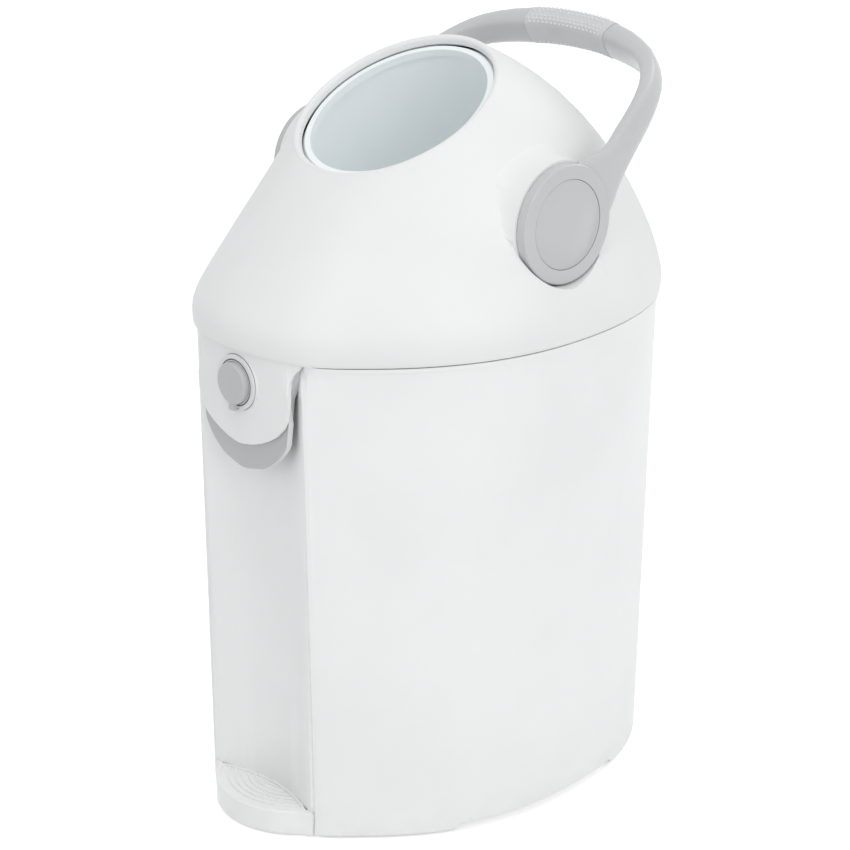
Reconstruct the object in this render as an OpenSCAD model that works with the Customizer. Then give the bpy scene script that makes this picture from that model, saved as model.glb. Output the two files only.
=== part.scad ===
// Nappy bin: tapered tub with a toe step, a domed hood on a rear hinge with a latched tab,
// and a ball-shaped drum turned by a bow handle, whose cup tips a nappy into the tub.
// Millimetres. Origin on the floor at the centre of the footprint, +Z up, -Y is the front.

/* [Piece to build] */
// one piece by name, or all

/* [Tub] */
// height of the seam between tub and hood
seam_z = 375; // [370:1:380]
// half width of the tub at the floor
foot_half = 142; // [138:1:146]
// half width of the tub at the seam
seam_half = 149; // [146:1:152]
// wall of the tub and the hood
wall = 2.6; // [2.4:0.1:2.8]
// distance of the flat front face from the centre
face_y = 182; // [181:0.5:183]
// radius of the scooped front
scoop_radius = 115; // [112:1:118]
// distance of the scoop's deepest line from the centre
scoop_y = 156; // [154:0.5:158]

/* [Toe step] */
// top of the step's tread
step_z = 20; // [17:0.5:22]
// radius of the step's round front
step_radius = 65; // [62:0.5:66]
// height of the tread's ridges
ridge_h = 1.2; // [0.6:0.1:1.6]

/* [Drum] */
// height of the handle's axis
pivot_z = 459; // [457:0.5:461]
// set-back of the handle's axis
pivot_y = 10.7; // [9:0.5:12]
// tilt of the mouth towards the front
mouth_tilt = 29.5; // [28:0.5:31]
// radius of the ball-shaped drum
drum_radius = 106; // [105:0.25:106.5]
// inner radius of the nappy cup
cup_radius = 72; // [70:0.5:72]
// travel of the sliding floor in the cup
piston_travel = 129; // [100:1:129]

/* [Hood] */
// rise of the dome over the rear
rear_bulge = 22; // [20:0.5:25]
// radius of the handle discs
disc_radius = 43.5; // [40:0.5:44]
// outer face of the handle discs from the centre
disc_x = 138; // [137.5:0.5:140]

/* [Handle] */
// lift of the handle above level at rest
handle_lift = 33.7; // [33:0.1:36]
// length of the soft grip
grip_length = 86; // [70:1:90]

/* [Latch] */
// height of the release button
button_z = 351.5; // [350:0.5:353]
// radius of the release button
button_radius = 15.3; // [14.5:0.1:15.5]
// how far the button goes in
button_travel = 3; // [2:0.25:3]

/* [Fits] */
// radial play of a turning fit
running_fit = 0.05; // [0.02:0.01:0.08]
// gap between parts that pass each other
pass_gap = 0.3; // [0.3:0.05:0.5]

/* [Hidden] */
$fn = 96;
white = [0.93, 0.93, 0.92];
pale_grey = [0.72, 0.73, 0.74];
cool_grey = [0.80, 0.83, 0.86];
dark = [0.12, 0.12, 0.13];
steel = [0.62, 0.63, 0.65];

// plan of the tub: an egg with straight front flanks and a gently bowed front face
face_bow = 160;
front_foot = 185;
front_seam = 191.5;
rear_foot = 181.5;
rear_seam = 188;
flank_angle = 36.5;
band = 3.3;
floor_z = 8;
floor_t = 2.5;
rim_z = seam_z - 0.3;
rebate_z = seam_z - 5;
rebate = 1.6;

// hinge
hinge_y = 190;
hinge_z = seam_z + 6.5;
barrel_r = 6;
ear_in = 20;
ear_out = 34;
knuckle_x = ear_in - 0.5;
hinge_pin_r = 2.5;

// drum and axles, all from the pivot
shell_t = 2.6;
pole_x = 98;
shell_top = 72.5;
cup_wall = 1.5;
cup_top = 76;
rim_in = cup_radius - 2.5;
cup_floor = -72;
bush_in = 110;
bush_face = 112;
boss_face = disc_x - 8.3;
disc_t = 7.8;
disc_in = disc_x - disc_t;
axle_r = 10;
collar_r = 14;
bush_r = 13;
axle_end = disc_in + 2.3;
cap_r = 32.8;
cap_t = 2.7;
pocket_r = disc_radius + 1.6;

// mouth of the hood, from the pivot along the tilted axis
mouth_r = cup_radius + 4;
rim_r = mouth_r + 6;
rim_h = cup_top + 2.5;
skirt_h = rim_h - 6.5;
lip_r = 3;
band_top = 388;
crease_z = 396;

// latch: pin behind the tab, lever in the pocket of the tongue plate
tab_t = 3;
plate_gap = 0.6;
plate_t = 2.2;
latch_y = -172.5;
latch_z = 336;
latch_pin_r = 1.5;
slot_x = 14;
lever_x = 8.5;
screw_spots = [[-26, 330], [26, 330], [0, 298]];
// pegs that hold the step, and the spots of the feet
peg_x = 29.3;
peg_z = 13.7;
peg_seat = -161;
feet_spots = [[-82, -112], [82, -112], [-84, 126], [84, 126]];

function lerp(a, b, t) = a + (b - a) * t;
function fold(q) = q > 180 ? 360 - q : q;
function egg(q, z) = let (t = z / seam_z, a = lerp(foot_half, seam_half, t),
    b = cos(q) >= 0 ? lerp(front_foot, front_seam, t) : lerp(rear_foot, rear_seam, t),
    n = lerp(1.76, 2.33, (1 - cos(q)) / 2))
    pow(pow(abs(sin(q) / a), n) + pow(abs(cos(q) / b), n), -1 / n);
function egg_xy(q, z) = egg(q, z) * [sin(q), -cos(q)];
function flank(q, z) = q >= flank_angle ? egg(q, z) :
    let (p = egg_xy(flank_angle, z), d = egg_xy(flank_angle + 0.5, z) - p)
    (p[0] * d[1] - p[1] * d[0]) / (sin(q) * d[1] + cos(q) * d[0]);
function face(q) = let (s = sin(q) * sin(q)) s < 0.000001 ? (cos(q) > 0 ? face_y : 10000) :
    face_bow * (-cos(q) + sqrt(cos(q) * cos(q) + 2 * face_y * s / face_bow)) / s;
function scoop(q) = let (c = scoop_y + scoop_radius)
    cos(q) <= 0 || c * abs(sin(q)) >= scoop_radius ? 10000 :
    c * cos(q) - sqrt(pow(scoop_radius, 2) - pow(c * sin(q), 2));
function soft_min(a, b) = min(a, b) * pow(1 + pow(min(a, b) / max(a, b), 40), -1 / 40);
// radius of the plan at an angle from the front, without and with the scoop
function plan(q, z) = let (f = fold(q)) soft_min(flank(f, z), face(f));
function tub_plan(q, z) = soft_min(plan(q, z), scoop(fold(q)));
function bead(q) = let (t = (fold(q) - 22) / 10) max(0, min(1, t));

ANGLES = concat([for (q = [0:2.5:30]) q], [for (q = [35:5:325]) q], [for (q = [330:2.5:357.5]) q]);
HALF_ANGLES = [for (i = [0:2:len(ANGLES) - 1]) ANGLES[i]];

function polar(q, r) = [r * sin(q), -r * cos(q)];
function tub_shape(z, off) = [for (q = ANGLES) polar(q, tub_plan(q, z) + off)];
function hood_shape(z, off) = [for (q = ANGLES) polar(q, plan(q, z) + off)];
function lift(shape, z) = [for (p = shape) [p[0], p[1], z]];
function middle(ring) = let (n = len(ring)) [for (k = [0:2]) [for (p = ring) p[k]] * [for (p = ring) 1] / n];

// closed skin over rings of equal length, each seen counterclockwise from the far end
module loft(rings) {
    n = len(rings[0]);
    m = len(rings);
    points = concat([for (r = rings) each r], [middle(rings[0]), middle(rings[m - 1])]);
    sides = [for (k = [0:m - 2]) for (j = [0:n - 1])
        let (a = k * n + j, b = k * n + (j + 1) % n, c = b + n, d = a + n) each [[d, c, b], [d, b, a]]];
    ends = [for (j = [0:n - 1]) each [[m * n, j, (j + 1) % n],
        [m * n + 1, (m - 1) * n + (j + 1) % n, (m - 1) * n + j]]];
    polyhedron(points, concat(sides, ends), convexity = 8);
}

module slab(shape, z0, z1) translate([0, 0, z0]) linear_extrude(z1 - z0) polygon(shape);
module along_x(r, x0, x1, y = 0, z = 0) translate([x0, y, z]) rotate([0, 90, 0]) cylinder(r = r, h = x1 - x0);
module along_y(r, y0, y1, x = 0, z = 0) translate([x, y1, z]) rotate([90, 0, 0]) cylinder(r = r, h = y1 - y0);
// outline drawn in y and z, given thickness along x
module side_view(shape, x0, x1) translate([x0, 0, 0]) rotate([90, 0, 90]) linear_extrude(x1 - x0) polygon(shape);
// outline drawn in x and z, given thickness along y
module front_view(shape, y0, y1) translate([0, y1, 0]) rotate([90, 0, 0]) linear_extrude(y1 - y0) polygon(shape);
module at_pivot() translate([0, pivot_y, pivot_z]) children();
module at_mouth() at_pivot() rotate([mouth_tilt, 0, 0]) children();
module both_sides() {
    children();
    mirror([1, 0, 0]) children();
}
module box(a, b) translate(a) cube(b - a);
// bowed strip that follows the front face, from one depth behind it to another
module face_strip(d0, d1, half, z0, z1) slab(concat(
    [for (x = [-half:half / 12:half]) [x, -face_y + x * x / (2 * face_bow) + d0]],
    [for (x = [half:-half / 12:-half]) [x, -face_y + x * x / (2 * face_bow) + d1]]), z0, z1);
function both(side) = concat(side, [for (i = [len(side) - 1:-1:0]) [-side[i][0], side[i][1]]]);

// tub

module bin_body() color(white) difference() {
    union() {
        loft([for (s = [[1.8, -1.8, 0], [3.2, -0.4, 0], [5, 0, 0], [seam_z - 3.6, 0, 0],
            [seam_z - 3, 0, 1.5], [seam_z - 1, 0, 1.5], [rim_z, 0, 1]])
            [for (q = ANGLES) concat(polar(q, tub_plan(q, s[0]) + s[1] + s[2] * bead(q)), s[0])]]);
        both_sides() side_view([[184.8, seam_z - 35], [188, seam_z - 30], [hinge_y + barrel_r, seam_z + 1],
            [hinge_y + barrel_r, hinge_z], [hinge_y - barrel_r, hinge_z], [184.8, seam_z - 3]],
            ear_in, ear_out);
        both_sides() along_x(barrel_r, ear_in, ear_out, hinge_y, hinge_z);
        for (s = screw_spots) along_y(8, -scoop_y - 5, -scoop_y + 1, s[0], s[1]);
        both_sides() along_y(7, peg_seat, -scoop_y + 1, peg_x, peg_z);
    }
    difference() {
        loft([lift(tub_shape(floor_z + floor_t, -wall), floor_z + floor_t),
            lift(tub_shape(rebate_z + 0.1, -wall), rebate_z + 0.1)]);
        both_sides() box([47, -165.8, floor_z], [60.5, -160, step_z + 6]);
        for (s = screw_spots) along_y(8, -scoop_y - 5, -scoop_y + 3, s[0], s[1]);
        both_sides() along_y(7, peg_seat, -scoop_y + 3, peg_x, peg_z);
    }
    slab(tub_shape(seam_z, -rebate), rebate_z, seam_z);
    difference() {
        slab(tub_shape(floor_z, -wall), 0, floor_z);
        both_sides() box([47, -165.8, 0], [60.5, -160, step_z]);
    }
    // arch under each flank
    side_view([[-86, -1], [-80, 7.5], [76, 7.5], [84, -1]], -200, 200);
    // seats of the step, the feet, the plate screws and the hinge pin
    both_sides() box([50.7, -200, -1], [58.3, -163.2, step_z + 3.3]);
    both_sides() along_y(4, -170, -150, peg_x, peg_z);
    for (f = feet_spots) translate([f[0], f[1], 0]) cylinder(r = 4, h = 20);
    for (s = screw_spots) along_y(2, -170, -150, s[0], s[1]);
    along_x(hinge_pin_r, -40, 40, hinge_y, hinge_z);
}

function step_arc(q) = 131 * cos(q) + sqrt(max(0, pow(step_radius, 2) - pow(131 * sin(q), 2)));
function step_front(q) = max(plan(q, 10), abs(131 * sin(q)) < step_radius ? step_arc(q) : 0);
function step_back(x, off) = (abs(x) > 51 ? -163.5 :
    -(scoop_y + scoop_radius) + sqrt(pow(scoop_radius - pass_gap, 2) - x * x)) - off;
// plan of the step, drawn in at the front and at the back
function step_corner(front, half) = -face_y + half * half / (2 * face_bow) + (half > 52 ? 2.9 : 0.7) - front;
function step_shape(front, back, half = 58) = concat(
    [[-half, step_corner(front, half)]],
    [for (t = [-18:1:18]) let (q = t * 1.03, r = step_front(abs(q)) + front)
        if (abs(r * sin(q)) < half - 0.4) [r * sin(q), -r * cos(q)]],
    [[half, step_corner(front, half)]],
    [for (x = concat(half, half > 52 ? [51.1, 50.9] : [], [40, 27, 14, 0, -14, -27, -40],
        half > 52 ? [-50.9, -51.1] : [], -half)) [x, step_back(x, back)]]);

module foot_step() color(white) {
    difference() {
        union() for (s = [[-0.8, 1.8, 5], [0, 2.8, step_z + 0.4], [-0.4, 5, step_z + 0.9], [-1, 5, step_z + 1.2]])
            slab(step_shape(s[0], 0, 58 + s[0]), s[1], s[2]);
        slab(step_shape(-4, 2, 46), step_z, step_z + 5);
        slab(step_shape(-2.5, 2.5, 46), 0, step_z - 2.5);
        both_sides() along_y(7 + pass_gap, peg_seat, -150, peg_x, peg_z);
    }
    intersection() {
        for (r = [30:5:55]) translate([0, -131, step_z - 1]) difference() {
            cylinder(r = r + 0.8, h = ridge_h + 1);
            cylinder(r = r - 0.8, h = 20, center = true);
        }
        slab(step_shape(-5, 3, 45), 0, 40);
    }
    both_sides() along_y(4, -162, -152, peg_x, peg_z);
}

module rubber_feet() color(dark) for (f = feet_spots) translate([f[0], f[1], 0]) {
    cylinder(r1 = 11, r2 = 12, h = 1);
    translate([0, 0, 1]) cylinder(r = 12, h = floor_z - 1);
    cylinder(r = 4, h = floor_z + floor_t);
    translate([0, 0, floor_z + floor_t]) cylinder(r1 = 5.5, r2 = 3.5, h = 2.5);
}

PLATE = [[0, 283], [19.8, 289], [27, 293], [33.4, 298.5], [38.6, 305], [41.9, 312], [44.6, 328],
    [47, 347], [49, 362], [49, seam_z - 3]];
function inset(side, d) = [for (p = side) [p[0] == 0 ? 0 : p[0] - d * 0.8, p[1] + (p[0] < 35 ? d : 0)]];

module latch_plate() color(pale_grey) difference() {
    d0 = tab_t + plate_gap;
    d1 = d0 + plate_t;
    union() {
        intersection() {
            face_strip(d0, d1, 54, 280, seam_z);
            front_view(both(PLATE), -185, -160);
        }
        // turned-back edge of the plate
        intersection() {
            face_strip(d0, d1 + 2.4, 54, 280, seam_z);
            difference() {
                front_view(both(PLATE), -185, -160);
                front_view(both(inset(PLATE, 2)), -190, -150);
            }
        }
        // pocket of the lever
        box([-slot_x - 2, -176.4, 306], [slot_x + 2, -160, 368]);
        for (s = screw_spots)
            along_y(6, -face_y + pow(abs(s[0]) + 6, 2) / (2 * face_bow) + d0 + 0.2, -scoop_y - 5, s[0], s[1]);
    }
    difference() {
        box([-slot_x, -190, 308], [slot_x, -162, 400]);
        box([-slot_x - 1, -168, 318], [slot_x + 1, -160, 321]);
    }
    box([-19, -190, button_z], [19, -175.8, 400]);
    along_y(19, -190, -175.8, 0, button_z);
    for (s = screw_spots) along_y(1.5, -173, -150, s[0], s[1]);
}

module plate_screws() color(steel) for (s = screw_spots) {
    along_y(1.5, -170, -150, s[0], s[1]);
    along_y(3.6, -scoop_y + 3, -scoop_y + 5.5, s[0], s[1]);
}

module bag_ring() color(pale_grey) difference() {
    union() {
        slab(tub_shape(350, -wall - 0.6), 350, rebate_z + 0.2);
        slab(tub_shape(seam_z, -rebate - 0.4), rebate_z + 0.2, seam_z - 0.6);
    }
    slab(tub_shape(350, -wall - 3.2), 340, 380);
}

module hinge_pin() color(steel) {
    along_x(hinge_pin_r, -ear_out - 0.5, ear_out + 0.5, hinge_y, hinge_z);
    both_sides() along_x(4, ear_out, ear_out + 1.5, hinge_y, hinge_z);
}

// hood

function rim_point(q, r, h) = let (v = -r * cos(q))
    [r * sin(q), pivot_y + v * cos(mouth_tilt) - h * sin(mouth_tilt),
        pivot_z + v * sin(mouth_tilt) + h * cos(mouth_tilt)];
function at(q, off, z) = concat(polar(q, plan(q, min(z, seam_z)) + off), z);
function bend(a, b, c, t) = a * (1 - t) * (1 - t) + b * 2 * t * (1 - t) + c * t * t;
// dome profile at one angle, drawn in by d
function dome(q, t, d) = let (u = (1 - cos(q)) / 2, b = 3 + rear_bulge * u * u,
    low = at(q, band - d, crease_z - d), top = rim_point(q, rim_r - 0.25 - d, rim_h - 0.9 * d),
    mid = (low + top) / 2 + 2 * b * [0.6 * sin(q), -0.6 * cos(q), 0.8]) bend(low, mid, top, t);
function shoulder(q, t, d) = bend(at(q, band - d, band_top), at(q, band - d, crease_z - d), dome(q, 0.1, d), t);
DOME_STEPS = [0.1, 0.18, 0.28, 0.38, 0.48, 0.58, 0.68, 0.78, 0.87, 0.94, 1];

module hood_outside() loft(concat(
    [for (s = [[seam_z + 0.6, 1.5], [seam_z + 1.6, 2.4], [seam_z + 4, 3], [seam_z + 9, band]])
        [for (q = ANGLES) at(q, s[1], s[0])]],
    [for (t = [0, 0.3, 0.55, 0.8]) [for (q = ANGLES) shoulder(q, t, 0)]],
    [for (t = DOME_STEPS) [for (q = ANGLES) dome(q, t, 0)]]));
module hood_inside() loft(concat(
    [for (z = [seam_z + 4.5]) [for (q = HALF_ANGLES) at(q, band - wall, z)]],
    [for (t = [0, 0.4, 0.75]) [for (q = HALF_ANGLES) shoulder(q, t, wall)]],
    [for (t = [0.1, 0.25, 0.4, 0.55, 0.7, 0.85, 1]) [for (q = HALF_ANGLES) dome(q, t, wall)]]));

// boss that carries a bush and stands behind a handle disc
module disc_boss() rotate([0, 90, 0]) difference() {
    rotate_extrude() polygon([[bush_r, bush_face], [18, bush_face], [18, 118], [20, 126], [43, boss_face - 2.5],
        [43.3, 123], [44.3, 117], [46, 110], [48.5, 104.5], [51.5, 101], [54, 102.5], [51, 106.5],
        [48.5, 111], [46.8, 117], [45.9, 124], [45.5, boss_face], [bush_r, boss_face]]);
}
module boss_ribs() rotate([0, 90, 0]) for (a = [0:60:300]) rotate([0, 0, a])
    translate([17, -1, 119]) cube([27, 2, boss_face - 120]);

TAB = [[0, 304], [12.7, 307], [22.4, 310], [29.7, 313.5], [36.6, 318.7], [42.4, 326], [44.8, 332],
    [46.6, 344], [47.5, 355], [49, 361.5], [51.6, 366.4], [54.8, 370.8], [57.4, 374],
    [58.2, seam_z], [66, seam_z], [66, seam_z + 4]];

module hood() color(white) difference() {
    union() {
        difference() {
            hood_outside();
            hood_inside();
            slab(hood_shape(seam_z, 0.4), seam_z, seam_z + 2.5);
            slab(tub_shape(seam_z, -6), seam_z, seam_z + 6);
        }
        // closed seat of each disc where the dome is wider than the disc
        intersection() {
            hood_outside();
            both_sides() at_pivot() difference() {
                along_x(pocket_r + 2.5, boss_face - 4, 160);
                along_x(pocket_r, boss_face - 6, 170);
            }
        }
        both_sides() at_pivot() {
            disc_boss();
            boss_ribs();
        }
        // lip and skirt of the mouth
        at_mouth() rotate_extrude() {
            translate([rim_r - lip_r, rim_h + 0.5]) circle(r = lip_r, $fn = 32);
            polygon([[mouth_r, rim_h - 2], [rim_r, rim_h - 2], [rim_r, rim_h + 0.5], [mouth_r, rim_h + 0.5]]);
            polygon([[rim_r - 2.4, skirt_h], [rim_r, skirt_h], [rim_r, rim_h], [rim_r - 2.4, rim_h]]);
        }
        intersection() {
            face_strip(0, tab_t, 70, 300, seam_z + 3.5);
            front_view(both(TAB), -190, -160);
        }
        along_y(21.5, -face_y, -face_y + tab_t, 0, button_z);
        both_sides() {
            along_x(4, 9, 12, latch_y, latch_z);
            box([9, -face_y + 2, latch_z - 4], [12, latch_y, latch_z + 4]);
        }
        difference() {
            union() {
                along_x(barrel_r, -knuckle_x, knuckle_x, hinge_y, hinge_z);
                side_view([[hinge_y - barrel_r, hinge_z], [hinge_y + 5, hinge_z + 2], [191, 398], [186.5, 398]],
                    -knuckle_x, knuckle_x);
            }
        }
    }
    at_mouth() translate([0, 0, 60]) cylinder(r = mouth_r, h = 40);
    both_sides() at_pivot() {
        along_x(pocket_r, boss_face, 170);
        along_x(bush_r, 100, 170);
    }
    // window for the ears of the tub
    both_sides() box([knuckle_x, 176, seam_z - 2], [ear_out + 3, 200, hinge_z + 7.5]);
    along_x(hinge_pin_r + running_fit, -40, 40, hinge_y, hinge_z);
    along_y(18, -190, -175, 0, button_z);
    along_x(latch_pin_r, -14, 14, latch_y, latch_z);
}

module hood_gasket() color(dark) difference() {
    slab(tub_shape(seam_z, -2), seam_z - 0.2, seam_z + 2.5);
    slab(tub_shape(seam_z, -5.5), seam_z - 2, seam_z + 4);
    // clear of the ears
    box([-ear_out - 3, hinge_y - barrel_r - 0.6, seam_z - 2], [ear_out + 3, 200, seam_z + 4]);
}

module mouth_seal() color(dark) at_mouth() rotate_extrude()
    polygon([[rim_r - 2.4, skirt_h], [rim_r - 0.7, skirt_h], [rim_r - 0.5, skirt_h - 3.3], [rim_r - 1.6, skirt_h - 2.1]]);

module bush() at_pivot() rotate([0, 90, 0]) difference() {
    union() {
        translate([0, 0, bush_in]) cylinder(r = 17, h = bush_face - bush_in);
        translate([0, 0, bush_in]) cylinder(r = bush_r, h = boss_face - bush_in);
    }
    cylinder(r = axle_r + running_fit, h = 200);
}
module bush_right() color(dark) bush();
module bush_left() color(dark) mirror([1, 0, 0]) bush();

module button_bezel() color(pale_grey) difference() {
    union() {
        along_y(20.5, -face_y - 2, -face_y, 0, button_z);
        along_y(18, -face_y - 1, -176.5, 0, button_z);
    }
    along_y(button_radius + 0.35, -190, -178, 0, button_z);
    along_y(button_radius + 1.2, -face_y - 0.4, -178, 0, button_z);
    along_y(3.9, -190, -170, 0, button_z);
    box([-3.4, -190, button_z - 21], [3.4, -face_y, button_z - 12]);
}

module latch_pin() color(steel) along_x(latch_pin_r, -12.5, 12.5, latch_y, latch_z);

module release_button() color(pale_grey) {
    front = -face_y - 6.5;
    difference() {
        union() {
            along_y(button_radius, front + 0.8, -181.4, 0, button_z);
            translate([0, front + 0.8, button_z]) rotate([90, 0, 0])
                cylinder(r1 = button_radius, r2 = button_radius - 0.8, h = 0.8);
            along_y(button_radius + 0.8, -face_y - 0.1, -181.1, 0, button_z);
            box([-3, front + 0.4, button_z - 20], [3, front + 3.1, button_z - 12]);
        }
        along_y(button_radius - 1.8, front + 2, -170, 0, button_z);
    }
    along_y(3.5, front + 1, -177.8, 0, button_z);
    translate([0, -177.8, button_z]) sphere(r = 3.5);
}

module button_spring() color(steel) {
    turns = 4;
    steps = 14;
    wire = 0.5;
    y0 = -face_y - 4.5 + wire;
    y1 = -178 - wire;
    loft([for (i = [0:turns * steps]) let (a = i * 360 / steps, y = lerp(y0, y1, i / (turns * steps)))
        [for (k = [0:5]) let (r = 6 + wire * cos(60 * k)) [r * cos(a), y + wire * sin(60 * k), button_z + r * sin(a)]]]);
}

module latch_lever() color(pale_grey) difference() {
    union() {
        side_view([[-174, 313.8], [-166.5, 313.8], [-164.4, 315.6], [-164.4, 317.6], [-169.4, 317.6],
            [-170.6, 319], [-170.6, 358], [-174, 358]], -lever_x, lever_x);
        along_x(3.6, -lever_x, lever_x, latch_y, latch_z);
    }
    along_x(latch_pin_r + running_fit, -20, 20, latch_y, latch_z);
}

// drum

module drum_shell() color(white) at_pivot() difference() {
    intersection() {
        sphere(r = drum_radius);
        box([-pole_x, -120, -120], [pole_x, 120, 120]);
    }
    intersection() {
        sphere(r = drum_radius - shell_t);
        box([-pole_x + shell_t, -120, -120], [pole_x - shell_t, 120, 120]);
    }
    rotate([mouth_tilt, 0, 0]) translate([-150, -150, shell_top]) cube([300, 300, 80]);
    both_sides() {
        along_x(4, 90, 110);
        for (a = [30:120:270]) rotate([a, 0, 0]) along_x(1.6, 90, 110, 17.5);
    }
}

module drum_cup() color(cool_grey) at_mouth() difference() {
    union() {
        translate([0, 0, cup_floor]) cylinder(r = cup_radius + cup_wall, h = cup_top - cup_floor - 2);
        intersection() {
            sphere(r = drum_radius);
            translate([0, 0, shell_top]) cylinder(r = 90, h = cup_top - shell_top);
        }
    }
    translate([0, 0, cup_floor + 2]) cylinder(r = cup_radius, h = cup_top - cup_floor - 8);
    translate([0, 0, cup_floor + 2]) cylinder(r = rim_in, h = 200);
}

module axle() at_pivot() {
    difference() {
        union() {
            along_x(22, pole_x, pole_x + 3);
            along_x(collar_r, pole_x, bush_in - pass_gap);
            along_x(axle_r, pole_x, boss_face + 0.2);
            intersection() {
                along_x(axle_r, pole_x, axle_end);
                box([pole_x, -8, -20], [axle_end, 8, 20]);
            }
        }
        along_x(2, 112, 150);
        for (a = [30:120:270]) rotate([a, 0, 0]) along_x(1.6, 90, 110, 17.5);
    }
}
module axle_right() color(steel) axle();
module axle_left() color(steel) mirror([1, 0, 0]) axle();

module axle_screws() color(steel) at_pivot() both_sides() for (a = [30:120:270]) rotate([a, 0, 0]) {
    along_x(1.6, pole_x - 7, pole_x + 4, 17.5);
    along_x(3, pole_x + 3, pole_x + 5.2, 17.5);
}

// bow of the handle: [x, distance from the axis, thickness, width] from one disc to the other
BOW = [[134, 25, 7.6, 60], [133, 43, 7.8, 48], [131.8, 60, 8.6, 31.5], [125.5, 85, 10, 27], [119.5, 110, 10, 25],
    [111, 133, 11.5, 23], [100, 150, 13.5, 23], [84, 163, 16, 24.5], [60, 172, 19, 26], [43.5, 175.6, 20, 27],
    [43, 175.7, 20, 27], [30, 178, 20, 27], [15, 179.2, 20, 27]];
BOW_ALL = concat(BOW, [[0, 179.5, 20, 27]], [for (i = [len(BOW) - 1:-1:0]) let (b = BOW[i]) [-b[0], b[1], b[2], b[3]]]);
function spline(list, i, t) = let (n = len(list) - 1, a = list[max(0, i - 1)], b = list[i], c = list[min(n, i + 1)],
    d = list[min(n, i + 2)]) 0.5 * (2 * b + (c - a) * t + (2 * a - 5 * b + 4 * c - d) * t * t + (3 * b - a - 3 * c + d) * t * t * t);
BOW_FINE = [for (i = [0:len(BOW_ALL) - 2]) each (i < 8 || i > len(BOW_ALL) - 10 ?
    [spline(BOW_ALL, i, 0), spline(BOW_ALL, i, 0.5)] : [spline(BOW_ALL, i, 0)])];
BOW_PATH = concat(BOW_FINE, [BOW_ALL[len(BOW_ALL) - 1]]);
function super(a, p) = let (c = cos(a), s = sin(a)) [sign(c) * pow(abs(c), p), sign(s) * pow(abs(s), p)];
// section of the bow at one station, drawn in by d
function bow_ring(path, i, d) = let (p = path[i], a = path[max(0, i - 1)], b = path[min(len(path) - 1, i + 1)],
    l = norm([b[0] - a[0], b[1] - a[1]]), tx = (b[0] - a[0]) / l, ts = (b[1] - a[1]) / l)
    [for (k = [0:19]) let (e = super(k * 18, 0.62), u = e[0] * (p[2] / 2 - d), w = e[1] * (p[3] / 2 - d))
        [p[0] - ts * u, p[1] + tx * u, w]];
grip_in = 1.4;

module bow() rotate([handle_lift, 0, 0]) loft([for (i = [0:len(BOW_PATH) - 1])
    bow_ring(BOW_PATH, i, abs(BOW_PATH[i][0]) < grip_length / 2 + 0.2 ? grip_in : 0)]);

module handle() color(pale_grey) at_pivot() difference() {
    union() {
        bow();
        both_sides() {
            along_x(disc_radius, disc_in, disc_x - 0.8);
            translate([disc_x - 0.8, 0, 0]) rotate([0, 90, 0]) cylinder(r1 = disc_radius, r2 = disc_radius - 0.8, h = 0.8);
        }
    }
    both_sides() {
        intersection() {
            along_x(axle_r + running_fit, disc_in - 1, axle_end + 0.1);
            box([disc_in - 1, -8 - running_fit, -20], [axle_end + 0.1, 8 + running_fit, 20]);
        }
        along_x(2, disc_in, disc_x + 1);
        along_x(5.8, disc_x - cap_t - 1.6, disc_x + 1);
        along_x(cap_r + 0.2, disc_x - cap_t - 0.1, disc_x + 1);
        // nothing of the bow stays behind a disc
        along_x(disc_radius + 6, disc_in - 30, disc_in);
    }
}

module grip_pad() color(pale_grey) at_pivot() rotate([handle_lift, 0, 0]) difference() {
    inner = [for (p = BOW_PATH) if (abs(p[0]) < grip_length / 2 + 0.2) p];
    loft([for (i = [0:len(inner) - 1]) bow_ring(inner, i, -0.3)]);
    loft([for (i = [0:len(inner) - 1]) bow_ring(inner, i, grip_in)]);
}

module disc_cap() at_pivot() {
    along_x(cap_r, disc_x - cap_t, disc_x - 0.6);
    translate([disc_x - 0.6, 0, 0]) rotate([0, 90, 0]) cylinder(r1 = cap_r, r2 = cap_r - 0.6, h = 0.6);
}
module disc_cap_right() color(pale_grey) disc_cap();
module disc_cap_left() color(pale_grey) mirror([1, 0, 0]) disc_cap();

module hub_screws() color(steel) at_pivot() both_sides() {
    along_x(2, 118, disc_x - cap_t - 1.5);
    along_x(5.5, disc_x - cap_t - 1.6, disc_x - cap_t - 0.2);
}

// sliding floor of the cup

module piston_plate() color(cool_grey) at_mouth() difference() {
    translate([0, 0, -69.7]) cylinder(r = cup_radius - 0.7, h = 9.7);
    translate([0, 0, -71]) cylinder(r = cup_radius - 4.5, h = 8.6);
    translate([0, 0, -66.5]) difference() {
        cylinder(r = 80, h = 2.6);
        translate([0, 0, -1]) cylinder(r = cup_radius - 2.5, h = 5);
    }
}
module piston_weight() color(steel) at_mouth() translate([0, 0, -68.6]) cylinder(r = 60, h = 6.2);
module piston_wiper() color(dark) at_mouth() translate([0, 0, -66.5]) difference() {
    cylinder(r = cup_radius - 0.3, h = 2.6);
    translate([0, 0, -1]) cylinder(r = cup_radius - 2.5, h = 5);
}

bin_body();
foot_step();
rubber_feet();
latch_plate();
plate_screws();
bag_ring();
hinge_pin();
hood();
hood_gasket();
mouth_seal();
bush_left();
bush_right();
button_bezel();
latch_pin();
release_button();
button_spring();
latch_lever();
drum_shell();
drum_cup();
axle_left();
axle_right();
axle_screws();
handle();
grip_pad();
disc_cap_left();
disc_cap_right();
hub_screws();
piston_plate();
piston_weight();
piston_wiper();
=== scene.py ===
"""Nappy bin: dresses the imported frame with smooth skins, moulded details, finishes and studio light."""

import logging
import math
from dataclasses import dataclass, field
from enum import Enum
from typing import Any, Callable, Sequence

import bpy
from bpy.types import Material, NodeSocket, Object
from mathutils import Matrix, Vector


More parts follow.
